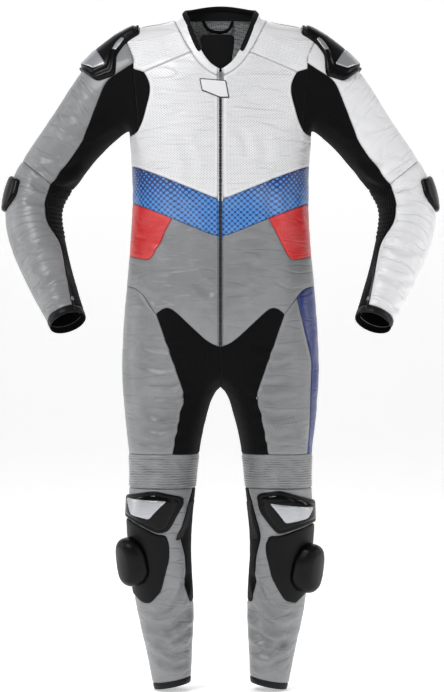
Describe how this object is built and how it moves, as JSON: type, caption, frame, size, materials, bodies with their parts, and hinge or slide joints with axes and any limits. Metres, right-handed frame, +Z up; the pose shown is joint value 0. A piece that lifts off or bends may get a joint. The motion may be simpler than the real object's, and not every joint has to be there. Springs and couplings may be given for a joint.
{
  "type": "motorcycle race suit",
  "caption": "Full-body leather motorcycle race suit, filled out with no wearer: hollow sewn panels, stretch insets, ribbed knees, hard guards, front zip.",
  "frame": {"origin": "the middle of the neck opening at shoulder height, where the wearer's shoulders carry the suit", "axes": "+Z up towards the collar, -Y the front, +X the wearer's left"},
  "size_m": [0.9484, 0.3201, 1.4985],
  "materials": {
    "white_leather": "semi-gloss",
    "grey_leather": "semi-gloss",
    "navy_leather": "semi-gloss",
    "red_leather": "semi-gloss",
    "black_leather": "semi-gloss",
    "black_stretch": "matt ribbed",
    "black_plastic": "moulded gloss",
    "silver_plate": "satin",
    "zip_metal": "polished"
  },
  "bodies": {
    "suit": {"ankle_band_L": "black_stretch", "ankle_band_R": "black_stretch", "armpit_L": "black_stretch", "armpit_R": "black_stretch", "back": "grey_leather", "belly_L": "grey_leather", "belly_R": "grey_leather", "calf_stretch_L": "black_stretch", "calf_stretch_R": "black_stretch", "chest_L": "white_leather", "chest_R": "white_leather", "chevron_L": "navy_leather", "chevron_R": "navy_leather", "collar": "white_leather", "collar_binding": "black_leather", "cuff_L": "black_stretch", "cuff_R": "black_stretch", "elbow_slider_L": "black_plastic", "elbow_slider_R": "black_plastic", "elbow_stretch_L": "black_stretch", "elbow_stretch_R": "black_stretch", "flank_L": "red_leather", "flank_R": "red_leather", "forearm_L": "white_leather", "forearm_R": "grey_leather", "hanger_loop": "black_stretch", "inner_leg_L": "black_stretch", "inner_leg_R": "black_stretch", "inner_sleeve_L": "black_stretch", "inner_sleeve_R": "black_stretch", "knee_base_L": "black_leather", "knee_base_R": "black_leather", "knee_frame_L": "black_plastic", "knee_frame_R": "black_plastic", "knee_plate_L": "silver_plate", "knee_plate_R": "silver_plate", "knee_pleats_L": "grey_leather", "knee_pleats_R": "grey_leather", "knee_slider_L": "black_plastic", "knee_slider_R": "black_plastic", "neck_tab": "white_leather", "seat": "grey_leather", "shin_L": "grey_leather", "shin_R": "grey_leather", "shoulder_cup_L": "black_plastic", "shoulder_cup_R": "black_plastic", "shoulder_plate_L": "silver_plate", "shoulder_plate_R": "silver_plate", "sleeve_L": "white_leather", "sleeve_R": "grey_leather", "thigh_L": "grey_leather", "thigh_R": "grey_leather", "thigh_side": "navy_leather", "wind_flap": "black_stretch", "yoke_L": "white_leather", "yoke_R": "white_leather", "zip_slider": "zip_metal", "zip_tape": "black_stretch"},
    "pull": {"zip_pull": "zip_metal"}
  },
  "joints": [
    {"name": "pull_swing", "type": "hinge", "parent": "suit", "child": "pull", "pos_m": [0, -0.10448, -0.0733], "axis": [-1, 0, 0], "range_deg": [0, 160]}
  ]
}
